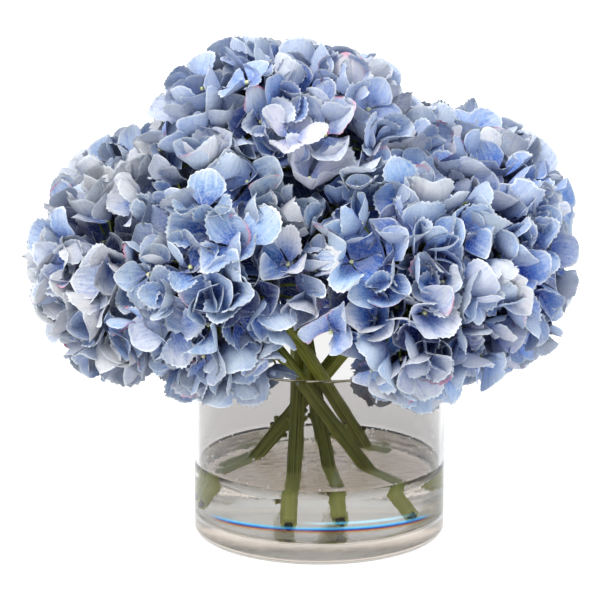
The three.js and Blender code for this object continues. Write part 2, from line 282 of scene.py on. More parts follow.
def stemRoute(bloom):
    # straight from the vase's floor past the rim, then one bend into the head
    values = stemValues
    water = Vector(bloom["atWater"] + (waterValues["level"],))
    rim = Vector(bloom["atRim"] + (values["straightTo"],))
    rise = (rim - water).normalized()
    lowest = vaseValues["floor"] + values["footLift"] + values["radius"] * values["leanDip"]
    foot = water - rise * ((water.z - lowest) / rise.z)
    reach = innerRadius - values["radius"] - values["wallClearance"]
    while math.hypot(foot.x, foot.y) > reach:
        foot += rise * values["footStep"]
    elbow = rim + rise * bloom["elbow"]
    centre = Vector(bloom["centre"])
    axis = (centre - elbow).normalized()
    end = centre + axis * (values["intoHead"] - coreShare * bloom["radius"])
    straight = max(2, round((rim - foot).length / values["step"]))
    points = [foot.lerp(rim, k / straight) for k in range(straight)]
    bend = max(4, round(((elbow - rim).length + (end - elbow).length) / values["step"]))
    for k in range(bend + 1):
        t = k / bend
        points.append(rim * (1 - t) ** 2 + elbow * 2 * t * (1 - t) + end * t * t)
    return points, rise, axis


for bloom in blooms.values():
    bloom["route"], bloom["rise"], bloom["axis"] = stemRoute(bloom)

stemPoints = [point for bloom in blooms.values() for point in bloom["route"]]
stemTree = kdtree.KDTree(len(stemPoints) * 2)
for index, point in enumerate(stemPoints):
    stemTree.insert(point, index)
for index, (a, b) in enumerate(zip(stemPoints, stemPoints[1:])):
    middle = (a + b) / 2 if (a - b).length < 0.01 else a
    stemTree.insert(middle, index + len(stemPoints))
stemTree.insert(stemPoints[-1], len(stemPoints) * 2 - 1)
stemTree.balance()
print("layout ready,", len(stemPoints), "points on the stems")


def spunBody(profile, steps):
    # a body of revolution whose profile starts and ends on the axis
    bm = bmesh.new()
    verts = [bm.verts.new((r, 0, z)) for r, z in profile]
    edges = [bm.edges.new(pair) for pair in zip(verts, verts[1:])]
    bmesh.ops.spin(bm, geom=verts + edges, cent=(0, 0, 0), axis=(0, 0, 1), angle=math.tau, steps=steps,
                   use_merge=True, use_duplicate=False)
    bmesh.ops.remove_doubles(bm, verts=bm.verts[:], dist=1e-6)
    bmesh.ops.recalc_face_normals(bm, faces=bm.faces[:])
    return bm


def roundRing(bm, radius, height, amount, segments):
    def onRing(vert):
        return abs(vert.co.xy.length - radius) < 1e-5 and abs(vert.co.z - height) < 1e-5
    ring = [edge for edge in bm.edges if all(onRing(vert) for vert in edge.verts)]
    bmesh.ops.bevel(bm, geom=ring, offset=amount, offset_type="OFFSET", segments=segments, profile=0.5,
                    affect="EDGES", material=-1)


glassValues = {
    "foot": "e4d6c9", "lowWall": "f1edea", "wall": "cdcbca", "footTop": (0.010, 0.014), "lowTop": (0.040, 0.048),
    "lineFrom": 0.0190, "lineTo": 0.0246, "lineSag": 0.0034, "lineReach": 14.5, "paintedGlowStrength": 0.36,
    "streakHeight": 0.0258, "streakColour": "58c4e8", "frontFrom": (-0.034, -0.046),
    "bands": ((0.12, "ffe2b8"), (0.24, "f09a58"), (0.34, "a0566a"), (0.44, "3a4fae"), (0.56, "3f96e6"),
              (0.70, "9fe3fa"), (0.86, "e6f9ff")),
    "paintedCausticGlow": ((0.16, "000000"), (0.26, "7a3f16"), (0.35, "5c1a30"), (0.44, "1c2a90"), (0.56, "1f78d8"),
             (0.68, "4cb8ee"), (0.80, "3f8fa8"), (0.92, "000000")),
}


def glassMaterial():
    g = glassValues
    glass = Shader("clearGlass")
    point = glass.objectPoint()
    across, depth, height = glass.split(point)
    # painted bent light: a line of rainbow colours is painted low on the front wall, higher in the middle than at its
    # ends
    bow = glass.math("POWER", glass.math("MULTIPLY", across, g["lineReach"]), 2.0)
    line = glass.math("ADD", height, glass.math("MULTIPLY", bow, g["lineSag"]))
    place = glass.ramp(line, g["lineFrom"], g["lineTo"])
    bands = glass.bands(place, "ffffff", g["bands"])
    front = glass.math("MULTIPLY", glass.ramp(depth, *g["frontFrom"]),
                       glass.ramp(glass.noise(point, 18, 1), 0.30, 0.50, 0.55, 1.0))
    # painted shade: the glass is tinted by height, the thick foot warm and the part behind water paler than the grey
    # wall above, which darkens what is seen through the upper wall
    low = glass.mix(glass.ramp(height, *g["footTop"]), g["foot"], g["lowWall"])
    paintedGlassShade = glass.mix(glass.ramp(height, *g["lowTop"]), low, g["wall"])
    # painted bent light: a second, shorter streak glows just above the line on the right
    away = glass.math("ABSOLUTE", glass.math("SUBTRACT", line, g["streakHeight"]))
    paintedCausticStreak = glass.math("MULTIPLY", glass.ramp(away, 0.0009, 0.0002),
                        glass.math("MULTIPLY", glass.ramp(across, -0.016, 0.012), glass.ramp(across, 0.062, 0.040)))
    paintedCausticGlow = glass.mix(paintedCausticStreak, glass.bands(place, "000000", g["paintedCausticGlow"]), g["streakColour"])
    # painted light: the rainbow line and the streak above it are made to glow on the front of the glass
    glass.set(Base_Color=glass.mix(front, paintedGlassShade, glass.mix(1.0, paintedGlassShade, bands, "MULTIPLY")),
              Roughness=glass.ramp(height, 0.0010, 0.0055, 0.10, 0.0), IOR=1.49,
              Emission_Color=paintedCausticGlow, Emission_Strength=glass.math("MULTIPLY", front, g["paintedGlowStrength"]),
              Transmission_Weight=1.0, Specular_Tint=(0.14, 0.14, 0.14, 1.0))
    glass.put(glass.surface.inputs["Normal"], glass.bump(glass.noise(point, 28, 1), 0.00022, 0.26))
    return glass.material


def makeVase():
    v, inner = vaseValues, innerRadius
    foot, dish, lip, hold = v["footRound"], v["floorRound"], v["rimRound"], v["holdGap"]
    # a ring beside each rounded edge keeps the long walls true
    outside = [(0, 0), (v["radius"] * 0.5, 0), (v["radius"] - foot - hold, 0), (v["radius"], 0),
               (v["radius"], foot + hold), (v["radius"], v["height"] * 0.5),
               (v["radius"], v["height"] - lip - hold), (v["radius"], v["height"])]
    inside = [(inner, v["height"]), (inner, v["height"] - lip - hold), (inner, v["height"] * 0.5),
              (inner, v["floor"] + dish + hold), (inner, v["floor"]), (inner - dish - hold, v["floor"]),
              (inner * 0.5, v["floor"]), (0, v["floor"])]
    bm = spunBody(outside + inside, v["steps"])
    for radius, height, amount, segments in ((v["radius"], 0, foot, 6), (inner, v["floor"], dish, 6),
                                             (v["radius"], v["height"], lip, 4), (inner, v["height"], lip, 4)):
        roundRing(bm, radius, height, amount, segments)
    smoothFaces(bm)
    finishPiece(bm, "glassVase", [glassMaterial()], "vase")


makeVase()
print("vase made")


def waterMaterial():
    water = Shader("water")
    point = water.objectPoint()
    swirl = water.noise(point, 60, 2, 0.5, 0.8)
    water.set(Base_Color=water.mix(swirl, "f9faf8", "ffffff"),
              Roughness=0.0, IOR=1.333, Transmission_Weight=1.0, Specular_Tint=(0.7, 0.7, 0.7, 1.0))
    # the surface is livelier than the sides
    lively = water.ramp(water.split(point)[2], 0.0430, 0.0438, 0.16, 0.42)
    wide = water.bump(water.noise(point, 70, 2, 0.5, 0.6), 0.0010, lively)
    fine = water.bump(water.noise(point, 240, 2, 0.5, 1.2), 0.0006, lively, wide)
    water.put(water.surface.inputs["Normal"], fine)
    return water.material


def bubbleGlintMaterial():
    bubbleGlint = Shader("bubbleGlint")
    film = bubbleGlint.noise(bubbleGlint.objectPoint(), 700, 2)
    # painted glints: the bubbles are coloured white and glow faintly, standing in for the light they catch
    bubbleGlint.set(Base_Color=bubbleGlint.mix(film, "e8ecec", "ffffff"), Roughness=0.08,
               Emission_Color=(1.0, 1.0, 1.0, 1.0), Emission_Strength=0.35)
    bubbleGlint.put(bubbleGlint.surface.inputs["Normal"], bubbleGlint.bump(film, 0.0001, 0.2))
    return bubbleGlint.material


def makeWater():
    w = waterValues
    outer = innerRadius + w["overlap"]
    low = vaseValues["floor"] - w["overlap"]
    corner = vaseValues["floorRound"]
    profile = [(0, low), (outer * 0.5, low)]
    for k in range(7):
        turn = math.radians(15 * k)
        profile.append((outer - corner + corner * math.sin(turn), low + corner - corner * math.cos(turn)))
    for k in range(1, 6):
        profile.append((outer, low + corner + (w["level"] + w["meniscusRise"] - low - corner) * k / 5))
    for k in range(1, w["rings"] + 1):
        radius = outer * (1 - k / w["rings"])
        rise = w["meniscusRise"] * math.exp(-(outer - radius) / (w["meniscusWidth"] * 0.4))
        profile.append((radius, w["level"] + rise))
    bm = spunBody(profile, w["steps"])
    entries = []
    for bloom in blooms.values():
        foot, rise = bloom["route"][0], bloom["rise"]
        entries.append(foot + rise * ((w["level"] - foot.z) / rise.z))
    # rings spread from each stem, and the water climbs a little up it
    for vert in bm.verts:
        if vert.co.z > w["level"] - 0.0005 and vert.co.xy.length < outer - 0.002:
            for number, entry in enumerate(entries):
                away = (vert.co - entry).xy.length
                wave = math.cos(away / w["rippleLength"] * math.tau + number)
                vert.co.z += w["rippleHeight"] * wave * math.exp(-away / w["rippleFade"])
                past = max(0.0, away - stemValues["radius"])
                vert.co.z += w["stemRise"] * math.exp(-past / w["stemRiseFade"])
    # small bubbles cling to the glass and to the stems at the water line
    rng = random.Random(71)
    spots = []
    for k in range(w["wallBubbles"]):
        bearing = rng.uniform(0, math.tau)
        ring = outer - rng.choice(w["bubbleRings"]) * rng.uniform(0.8, 1.2)
        spots.append(Vector((ring * math.cos(bearing), ring * math.sin(bearing), w["level"])))
    for entry in entries:
        for k in range(w["stemBubbles"]):
            bearing = rng.uniform(0, math.tau)
            ring = stemValues["radius"] * rng.uniform(1.2, 2.6)
            spots.append(Vector((entry.x + ring * math.cos(bearing), entry.y + ring * math.sin(bearing), w["level"])))
    for spot in spots:
        size = rng.uniform(*w["bubbleSize"])
        made = bmesh.ops.create_icosphere(bm, subdivisions=1, radius=size)["verts"]
        bmesh.ops.translate(bm, vec=spot + Vector((0, 0, w["bubbleLift"])), verts=made)
        for vert in made:
            for face in vert.link_faces:
                face.material_index = 1
    smoothFaces(bm)
    finishPiece(bm, "vaseWater", [waterMaterial(), bubbleGlintMaterial()], "water")


makeWater()
print("water made")


def stemMaterial():
    stem = Shader("stemSkin")
    grain = stem.attribute("grain")
    point = stem.objectPoint()
    lines = stem.noise(stem.stretch(grain, (1150, 1150, 10)), 1.0, 3, 0.6)
    fine = stem.noise(stem.stretch(grain, (3200, 3200, 40)), 1.0, 2)
    patches = stem.noise(point, 70, 3)
    colour = stem.mix(stem.ramp(lines, 0.38, 0.62), "7b812b", "c3c468")
    colour = stem.mix(stem.ramp(patches, 0.45, 0.72, 0.0, 0.45), colour, "bfc474")
    colour = stem.mix(stem.ramp(fine, 0.50, 0.68, 0.0, 0.60), colour, "565c1e")
    # painted light: the part below the water line is painted paler
    paintedUnderwaterLight = stem.ramp(stem.split(point)[2], 0.0460, 0.0425)
    colour = stem.mix(paintedUnderwaterLight, colour, stem.mix(0.72, colour, "dbe288"))
    stem.set(Base_Color=colour, Roughness=stem.ramp(fine, 0.3, 0.7, 0.42, 0.62), Subsurface_Weight=0.06,
             Subsurface_Scale=0.002, Specular_IOR_Level=0.4)
    stem.put(stem.surface.inputs["Normal"], stem.bump(lines, 0.0004, 0.6))
    return stem.material


def cutEndAndHoleShadeMaterial():
    pith = Shader("cutEndAndPaintedHoleShade")
    speckle = pith.noise(pith.objectPoint(), 1400, 3)
    # painted shade: near black for the shade inside the stem's hole; on the stubs' cut tips it is their own dark cut
    # colour
    colour = pith.mix(pith.ramp(speckle, 0.35, 0.65), "2c2a20", "6a6446")
    pith.set(Base_Color=colour, Roughness=0.85)
    return pith.material


def sweepTube(bm, route, radii, segments, ribs, ribDepth):
    # a ring that is extruded from point to point, each time turned to the route; gives both end caps
    grain = bm.verts.layers.float_vector["grain"]
    ring = bmesh.ops.create_circle(bm, cap_ends=False, radius=1, segments=segments)["verts"]
    for vert in ring:
        angle = math.atan2(vert.co.y, vert.co.x)
        vert.co *= 1 + ribDepth * math.cos(ribs * angle)
        vert[grain] = (vert.co.x * radii[0], vert.co.y * radii[0], 0)
    frames = []
    heading = (route[1] - route[0]).normalized()
    turn = turnTo(heading).to_3x3()
    for k, point in enumerate(route):
        ahead = route[min(k + 1, len(route) - 1)] - route[max(k - 1, 0)]
        ahead.normalize()
        turn = heading.rotation_difference(ahead).to_matrix() @ turn
        heading = ahead
        frames.append(Matrix.Translation(point) @ turn.to_4x4() @ Matrix.Scale(radii[k], 4))
    bmesh.ops.transform(bm, matrix=frames[0], verts=ring)
    first = list(ring)
    length = 0.0
    for k in range(1, len(route)):
        length += (route[k] - route[k - 1]).length
        ring, _ = growRing(bm, ring)
        bmesh.ops.transform(bm, matrix=frames[k] @ frames[k - 1].inverted(), verts=ring)
        for vert in ring:
            old = vert[grain]
            vert[grain] = (old.x, old.y, length)
    return [bmesh.ops.contextual_create(bm, geom=loopEdges(end))["faces"][0] for end in (first, ring)]


def hollowEnd(bm, cap, route, values):
    # the cut end: a rim, then a hole where the pith was, painted near black as the shade inside it
    inward = (route[1] - route[0]).normalized()
    share = 1 - values["pithRadius"] / values["radius"]
    bmesh.ops.inset_region(bm, faces=[cap], thickness=values["radius"] * share, depth=0)
    made = bmesh.ops.extrude_discrete_faces(bm, faces=[cap])["faces"]
    for face in made:
        face.material_index = 1
        bmesh.ops.translate(bm, vec=inward * values["pithDepth"], verts=face.verts[:])
        for edge in face.edges:
            for side in edge.link_faces:
                side.material_index = 1


def addStub(bm, place, direction, values, seed):
    # what is left of a leaf stalk that was cut away at the joint
    grain = bm.verts.layers.float_vector["grain"]
    low, high = (values["stubRadius"] * flare for flare in values["stubFlare"])
    made = bmesh.ops.create_cone(bm, cap_ends=True, segments=10, radius1=low, radius2=high,
                                 depth=values["stubLength"])["verts"]
    for vert in made:
        vert[grain] = (vert.co.x, vert.co.y, vert.co.z + seed)
    for vert in made:
        for face in vert.link_faces:
            if face.normal.z > 0.9:  # the cut tip
                face.material_index = 1
    bmesh.ops.transform(bm, matrix=Matrix.Translation(place + direction * values["stubLength"] * values["stubSink"])
                        @ turnTo(direction), verts=made)


def makeStem(name, bloom, materials):
    values = stemValues
    rng = random.Random(bloom["seed"] + 500)
    route = bloom["route"]
    bm = bmesh.new()
    bm.verts.layers.float_vector.new("grain")
    radii = []
    for k, point in enumerate(route):
        swell = math.exp(-((point.z - bloom["joint"]) / values["jointLength"]) ** 2)
        along = k / (len(route) - 1)
        uneven = 1 + values["jointSwell"] * swell + values["waver"] * math.sin(k * 0.9 + bloom["seed"])
        radii.append(values["radius"] * (1 - values["taper"] * along) * uneven)
    caps = sweepTube(bm, route, radii, values["segments"], values["ribs"], values["ribDepth"])
    # the foot is cut at a slant, and the cut faces the front
    rise = bloom["rise"]
    slope = math.tan(math.radians(values["cutAngle"]))
    for vert in caps[0].verts:
        vert.co += rise * (values["radius"] - (vert.co - route[0]).y) * slope
    smoothFaces(bm)
    for cap in caps:
        cap.smooth = False
    hollowEnd(bm, caps[0], route, values)
    share = (bloom["joint"] - route[0].z) / rise.z
    joint = route[0] + rise * share
    side = rise.cross(Vector((0, 1, 0))).normalized()
    for sign in (-1, 1):
        turn = Vector((0, rng.uniform(*values["stubTurn"]), 0))
        out = (side * sign + rise * values["stubRise"] + turn).normalized()
        addStub(bm, joint + side * sign * values["radius"] * values["stubOut"], out, values, sign)
    bmesh.ops.recalc_face_normals(bm, faces=bm.faces[:])
    finishPiece(bm, "stem" + name, materials, "stem_" + bloom["node"])


stemMaterials = [stemMaterial(), cutEndAndHoleShadeMaterial()]
for name, bloom in blooms.items():
    makeStem(name, bloom, stemMaterials)
print("stems made")


petalValues = {
    "length": 22.6, "width": 20.6, "thickness": 0.42, "kinds": 18, "across": 6, "along": 5, "foot": 0.30,
    "toothHeight": 0.65, "clawOffset": 1.2, "cup": (-1.0, 9.0), "curl": (-3.0, 8.0), "crease": (0.2, 1.0),
    "folds": (0.0, 0.0, 0.0, 2.5, 4.0), "waves": (2.0, 3.0, 3.6, 4.5), "waveHeight": (0.2, 1.1), "skew": 1.6,
    "points": (-0.9, 0.0, 0.6, 1.4), "teeth": (0.15, 0.6, 1.0, 1.35), "bite": (0.4, 1.3), "rimWaver": 0.25,
}
headValues = {
    "florets": 108, "lastPolar": 152, "blend": 16.0, "deepest": 27.0, "depthSpread": (-3.0, 6.0),
    "tilt": 62, "lift": (12, 62), "petalLiftSpread": 20, "petalRoll": 24, "size": (0.84, 1.16),
    "innerFlorets": 30, "innerShare": 0.55, "innerLift": (5, 45), "innerPaintedShade": (0.08, 0.21, 0.55),
    "edgeSoft": 8.0, "edgeOver": 9.0, "planeSoft": 5.0, "planeMargin": 0.3, "planeWave": 24.0, "waveScale": 40,
    "shadeFrom": 4.0, "shadeTo": 15.0, "shadeTone": (0.07, 0.28, 0.72),
    "pinkChance": 0.05, "palest": 0.74, "stalkRadius": (1.105, 0.595), "eyeRadius": 1.45,
    "petalStep": 0.0004, "eyeLift": 0.0011, "eyeFlat": 0.8, "stalkFrom": 0.002, "stalkSink": 0.0004,
    "innerPolar": 118, "scatter": 0.06, "toneSpread": (0.82, 1.12), "petalShade": (0.93, 1.06), "petalTurn": 9,
}
gapValues = {  # what florets and petals keep clear of, in metres
    "glass": 0.0008, "rim": 0.0006, "stem": 0.0009, "aboveRim": 0.012, "softInside": 0.006, "softOutside": 0.004,
    "border": 0.001, "clearing": 0.004, "stemTree": 0.0075, "wallBand": 0.009,
}
clearingValues = {  # the gap between the front heads, where the stems show
    "middle": -0.006, "left": -0.032, "right": 0.023, "full": 0.130, "top": 0.141, "lowFrom": 0.119,
    "lowLeft": -0.010, "back": 0.01,
}


def petalMaterial():
    petal = Shader("petalCloth")
    point = petal.objectPoint()
    across, along, rim = petal.split(petal.attribute("spot"))
    tint = petal.attribute("tint", "Color")
    pink = petal.attribute("tint", "Alpha")
    back = petal.attribute("back", "Fac")
    # veins run out from the petal's foot
    fan = petal.add("ShaderNodeCombineXYZ", {"X": petal.math("MULTIPLY", across, 7.0),
                                             "Y": petal.math("MULTIPLY", along, 1.6),
                                             "Z": petal.math("MULTIPLY", petal.attribute("kind", "Fac"), 9.0)})
    veins = petal.noise(fan.outputs[0], 1.0, 3, 0.55, 0.4)
    wash = petal.noise(point, 62, 2, 0.5, 0.3)
    fleck = petal.noise(point, 1000, 2, 0.6)
    mottle = petal.noise(point, 260, 3, 0.65)
    deep = petal.mix(1.0, tint, "5f8ade", "MULTIPLY")
    deep = petal.mix(0.40, deep, "174b96")
    pale = petal.mix(0.50, tint, "d2d4d6")
    # the foot of each petal is a darker, deeper blue: partly its own colour, partly painted shade where the foot sits
    # down by the eye
    colour = petal.mix(petal.ramp(along, 0.02, 0.50), deep, tint)
    colour = petal.mix(petal.ramp(along, 0.45, 1.0, 0.0, 0.75), colour, pale)
    colour = petal.mix(petal.ramp(wash, 0.50, 0.72, 0.0, 0.50), colour, petal.mix(0.68, tint, "d0d1d3"))
    colour = petal.mix(petal.ramp(wash, 0.44, 0.26, 0.0, 0.45), colour, "5f8acc")
    colour = petal.mix(petal.ramp(veins, 0.50, 0.72, 0.0, 0.36), colour, "dde0e8")
    colour = petal.mix(petal.ramp(veins, 0.48, 0.26, 0.0, 0.38), colour, deep)
    colour = petal.mix(petal.ramp(mottle, 0.52, 0.70, 0.0, 0.30), colour, petal.mix(0.78, tint, "dededd"))
    colour = petal.mix(petal.ramp(mottle, 0.46, 0.28, 0.0, 0.38), colour, deep)
    paleBack = petal.mix(0.62, colour, petal.mix(1.0, petal.mix(0.42, tint, "eef0f4"), "e6e4e2", "MULTIPLY"))
    colour = petal.mix(back, colour, paleBack)
    colour = petal.mix(petal.ramp(fleck, 0.40, 0.66, 0.0, 0.26), colour, "dbdde0")
    edge = petal.math("MULTIPLY", petal.ramp(rim, 0.62, 0.96), petal.ramp(along, 0.30, 0.60))
    colour = petal.mix(petal.math("MULTIPLY", edge, 0.78), colour, "e0e3e6")
    blush = petal.math("MULTIPLY", petal.math("MULTIPLY", pink, petal.ramp(rim, 0.35, 1.0)),
                       petal.ramp(petal.noise(point, 95, 1), 0.42, 0.62, 0.0, 0.85))
    colour = petal.mix(blush, colour, "cf86a4")
    petal.set(Base_Color=colour, Roughness=petal.ramp(fleck, 0.3, 0.7, 0.62, 0.82), Specular_IOR_Level=0.28,
              Sheen_Weight=0.12, Sheen_Roughness=0.45)
    grainBump = petal.bump(fleck, 0.00012, 0.5)
    petal.put(petal.surface.inputs["Normal"], petal.bump(veins, 0.0006, 0.6, grainBump))
    return petal.material


def eyeMaterial():
    eye = Shader("floretEye")
    grainy = eye.noise(eye.objectPoint(), 900, 2)
    colour = eye.mix(eye.ramp(grainy, 0.35, 0.65), "cfd48e", "f4f2d6")
    eye.set(Base_Color=colour, Roughness=0.55, Subsurface_Weight=0.1, Subsurface_Scale=0.001)
    eye.put(eye.surface.inputs["Normal"], eye.bump(grainy, 0.0002, 0.6))
    return eye.material


def stalkMaterial():
    stalk = Shader("floretStalk")
    mottle = stalk.noise(stalk.stretch(stalk.objectPoint(), (500, 500, 120)), 1.0, 3)
    colour = stalk.mix(stalk.ramp(mottle, 0.35, 0.65), "7d8c3a", "b4bd5c")
    stalk.set(Base_Color=colour, Roughness=0.6)
    stalk.put(stalk.surface.inputs["Normal"], stalk.bump(mottle, 0.0003, 0.5))
    return stalk.material


def petalKind(number):
    # one kind of petal, in mm: foot at the origin, tip along +Y, face up
    bm = bmesh.new()
    rng = random.Random(900 + number)
    v = petalValues
    length = v["length"] * rng.uniform(0.92, 1.08)
    half = v["width"] / 2 * rng.uniform(0.90, 1.10)
    cup = rng.uniform(*v["cup"])
    curl = rng.uniform(*v["curl"])
    crease = rng.uniform(*v["crease"])
    fold = rng.choice(v["folds"])
    waves = rng.choice(v["waves"])
    waveHeight = rng.uniform(*v["waveHeight"])
    wavePhase = rng.uniform(0, math.tau)
    skew = rng.uniform(-v["skew"], v["skew"])
    point = rng.choice(v["points"])
    toothHeight = v["toothHeight"] * rng.choice(v["teeth"])
    bmesh.ops.create_grid(bm, x_segments=v["across"], y_segments=v["along"], size=1)
    bmesh.ops.bisect_edges(bm, edges=[edge for edge in bm.edges if edge.is_boundary], cuts=1)
    spot = bm.verts.layers.float_vector.new("spot")
    bm.verts.layers.float_color.new("tint")
    back = bm.verts.layers.float.new("back")
    kind = bm.verts.layers.float.new("kind")
    rimVerts = {vert for vert in bm.verts if vert.is_boundary}
    for vert in bm.verts:
        u, v0 = vert.co.x, vert.co.y
        # the square grid becomes a disc, and the disc narrows to the petal's foot
        t = (v0 * math.sqrt(1 - u * u / 2) + 1) / 2
        widen = min(1.0, t / 0.5)
        side = u * math.sqrt(1 - v0 * v0 / 2) * (v["foot"] + (1 - v["foot"]) * widen * widen * (3 - 2 * widen))
        x = side * half + skew * t * t
        y = length * t + point * t ** 4 * math.exp(-(side / 0.3) ** 2)
        z = cup * side * side * min(1.0, 0.35 + t) + curl * t * t * (0.4 + 0.6 * t)
        z -= crease * math.exp(-(side / 0.22) ** 2) * math.sin(math.pi * min(1.0, t * 0.9))
        z += fold * abs(side) * t
        bearing = math.atan2(x, y - 0.45 * length)
        z += waveHeight * max(abs(u), abs(v0)) ** 3 * math.sin(waves * bearing + wavePhase) * min(1.0, t * 2)
        vert[spot] = (u, t, 1.0 if vert in rimVerts else 0.0)
        vert[back] = 0.5 if vert in rimVerts else 0.0
        if vert in rimVerts and t > 0.25:
            # the teeth: the grid's own points bite in and the points between them stand out
            own = (abs(math.sin(math.pi * (u + 1) * v["across"] / 2))
                   + abs(math.sin(math.pi * (v0 + 1) * v["along"] / 2))) < 0.01
            outward = Vector((x, y - 0.5 * length)).normalized()
            bite = toothHeight * (-0.8 if own else 0.8) * rng.uniform(*v["bite"])
            x += outward.x * bite
            y += outward.y * bite
            z += rng.uniform(-v["rimWaver"], v["rimWaver"])
        vert.co = (x, y, z)
    # the underside shares the outline, so the petal is thin at its edge and closed
    copy = bmesh.ops.duplicate(bm, geom=bm.verts[:] + bm.edges[:] + bm.faces[:])["geom"]
    bmesh.ops.reverse_faces(bm, faces=[g for g in copy if isinstance(g, bmesh.types.BMFace)])
    for vert in copy:
        if isinstance(vert, bmesh.types.BMVert) and vert[spot].z < 0.5:
            vert.co.z -= v["thickness"]
            vert[back] = 1.0
    bmesh.ops.remove_doubles(bm, verts=[vert for vert in bm.verts if vert[spot].z > 0.5], dist=1e-4)
    for edge in bm.edges:
        if all(vert[spot].z > 0.5 for vert in edge.verts):
            edge.smooth = False
    for vert in bm.verts:
        vert[kind] = number / v["kinds"]
    smoothFaces(bm)
    return meshOf(bm, "petalKind")


def makeEyeButton():
    bm = bmesh.new()
    bmesh.ops.create_uvsphere(bm, u_segments=8, v_segments=5, radius=headValues["eyeRadius"] * mm)
    bmesh.ops.transform(bm, matrix=Matrix.Diagonal((1, 1, headValues["eyeFlat"], 1)), verts=bm.verts[:])
    for face in bm.faces:
        face.material_index = 1
        face.smooth = True
    return meshOf(bm, "eyeButton")


def stalkTube(bm, start, middle, end, radii):
    # a thin curved stalk with five sides, closed at both ends
    steps = 3
    ring = bmesh.ops.create_circle(bm, cap_ends=True, radius=1, segments=5)["verts"]
    cap = ring[0].link_faces[0]
    bmesh.ops.reverse_faces(bm, faces=[cap])
    cap.material_index = 2
    last = Matrix.Identity(4)
    for k in range(steps + 1):
        t = k / steps
        place = start * (1 - t) ** 2 + middle * 2 * t * (1 - t) + end * t * t
        heading = ((middle - start) * (1 - t) + (end - middle) * t).normalized()
        now = Matrix.Translation(place) @ turnTo(heading) @ Matrix.Scale(radii[0] + (radii[1] - radii[0]) * t, 4)
        if k > 0:
            ring, faces = growRing(bm, ring)
            for face in faces:
                face.material_index = 2
                face.smooth = True
        bmesh.ops.transform(bm, matrix=now @ last.inverted(), verts=ring)
        last = now
    cap = bmesh.ops.edgeloop_fill(bm, edges=loopEdges(ring), mat_nr=2)["faces"][0]
    cap.normal_update()
    if cap.normal.dot(heading) < 0:
        cap.normal_flip()


def outlineMember(bloom):
    return Vector(bloom.get("heart", bloom["centre"])), Vector(bloom["reach"]), bloom.get("square", 2.0)


def partingPlanes(name):
    # the plane between this head and each neighbour that it presses on, the sign of its shared waves,
    # and the heads whose outlines run together there
    bloom = blooms[name]
    here = Vector(bloom["centre"])
    planes = []
    members = [outlineMember(bloom)]
    for other, rival in blooms.items():
        if other == name:
            continue
        toward = Vector(rival["centre"]) - here
        distance = toward.length
        if distance <= bloom["radius"] + rival["radius"] + 0.006:
            share = 0.5 + (bloom["radius"] ** 2 - rival["radius"] ** 2) / (2 * distance ** 2)
            planes.append((here + toward * share, toward / distance, 1 if name < other else -1))
            members.append(outlineMember(rival))
    return planes, members


def inClearing(co, margin):
    # whether a point is in the gap between the front heads
    c = clearingValues
    if co.y > c["back"] or co.z > c["top"]:
        return False
    share = min(1.0, (c["top"] - co.z) / (c["top"] - c["full"]))
    left = c["left"] if co.z > c["lowFrom"] else c["lowLeft"]
    side = co.x - c["middle"]
    return (left - c["middle"]) * share - margin < side < (c["right"] - c["middle"]) * share + margin


def outlineOf(co, members):
    # how far a point stands outside the merged outline of a few heads, and which way is out
    blend = headValues["blend"] * mm
    total, way = 0.0, Vector()
    for centre, reach, power in members:
        away = co - centre
        parts = (away.x / reach.x, away.y / reach.y, away.z / reach.z)
        level = sum(abs(part) ** power for part in parts) ** (1 / power) + 1e-9
        slope = Vector([math.copysign((abs(part) / level) ** (power - 1), part) / side
                        for part, side in zip(parts, reach)])
        steep = slope.length + 1e-6
        weight = math.exp(-(level - 1) / steep / blend)
        total += weight
        way += slope * (weight / steep)
    return -blend * math.log(total), way.normalized()


def beyond(co, point, normal, side):
    # how far a point is past the wavy border with the next head
    depth = (co - point).dot(normal)
    wave = noise.noise((co - normal * depth) * headValues["waveScale"])
    return depth - side * headValues["planeWave"] * mm * wave


def settle(co, members, planes, inside):
    # presses a point back from the next heads, the bunch's outline, the glass and the stems
    h, g = headValues, gapValues
    past, way = outlineOf(co, members)
    over = past - h["edgeOver"] * mm
    co = co + way * (easeBack(over, h["edgeSoft"] * mm, 0.0) - over)
    for plane in planes:
        over = beyond(co, *plane)
        co = co + plane[1] * (easeBack(over, h["planeSoft"] * mm, h["planeMargin"] * mm) - over)
    rim, ring = vaseValues["height"], co.xy.length
    if co.z < rim + g["aboveRim"]:
        wallOut = vaseValues["radius"] + g["glass"]
        wallIn = innerRadius - g["glass"]
        now, fade = ring, 1.0
        if inside and ring > 1e-5:
            now, fade = wallIn + easeBack(ring - wallIn, g["softInside"], 0.0), g["aboveRim"]
        elif not inside and ring > innerRadius - 0.001:
            now, fade = wallOut - easeBack(wallOut - ring, g["softOutside"], 0.0), g["softOutside"]
        elif not inside:
            co.z = max(co.z, rim + g["rim"])
        if now != ring:
            now += (ring - now) * max(0.0, min(1.0, (co.z - rim) / fade))
            co = Vector((co.x * now / ring, co.y * now / ring, co.z))
    nearest, _, distance = stemTree.find(co)
    clear = stemValues["radius"] + g["stem"]
    if 1e-6 < distance < clear:
        co = nearest + (co - nearest) * (clear / distance)
    return co, past


def bendOverRim(petal):
    # a petal that lies across the vase's wall passes over the rim, not through the glass
    wall = vaseValues["radius"] - vaseValues["wall"] / 2
    top = vaseValues["height"] + gapValues["rim"]
    for face in petal.polygons:
        corners = [petal.vertices[k] for k in face.vertices]
        if len({corner.co.xy.length > wall for corner in corners}) == 2:
            for corner in corners:
                below = top - corner.co.z
                if below > 0:
                    corner.co.z = top + 0.05 * max(0.0, gapValues["aboveRim"] - below)


def anyWay(rng):
    return Vector((rng.gauss(0, 1), rng.gauss(0, 1), rng.gauss(0, 1)))


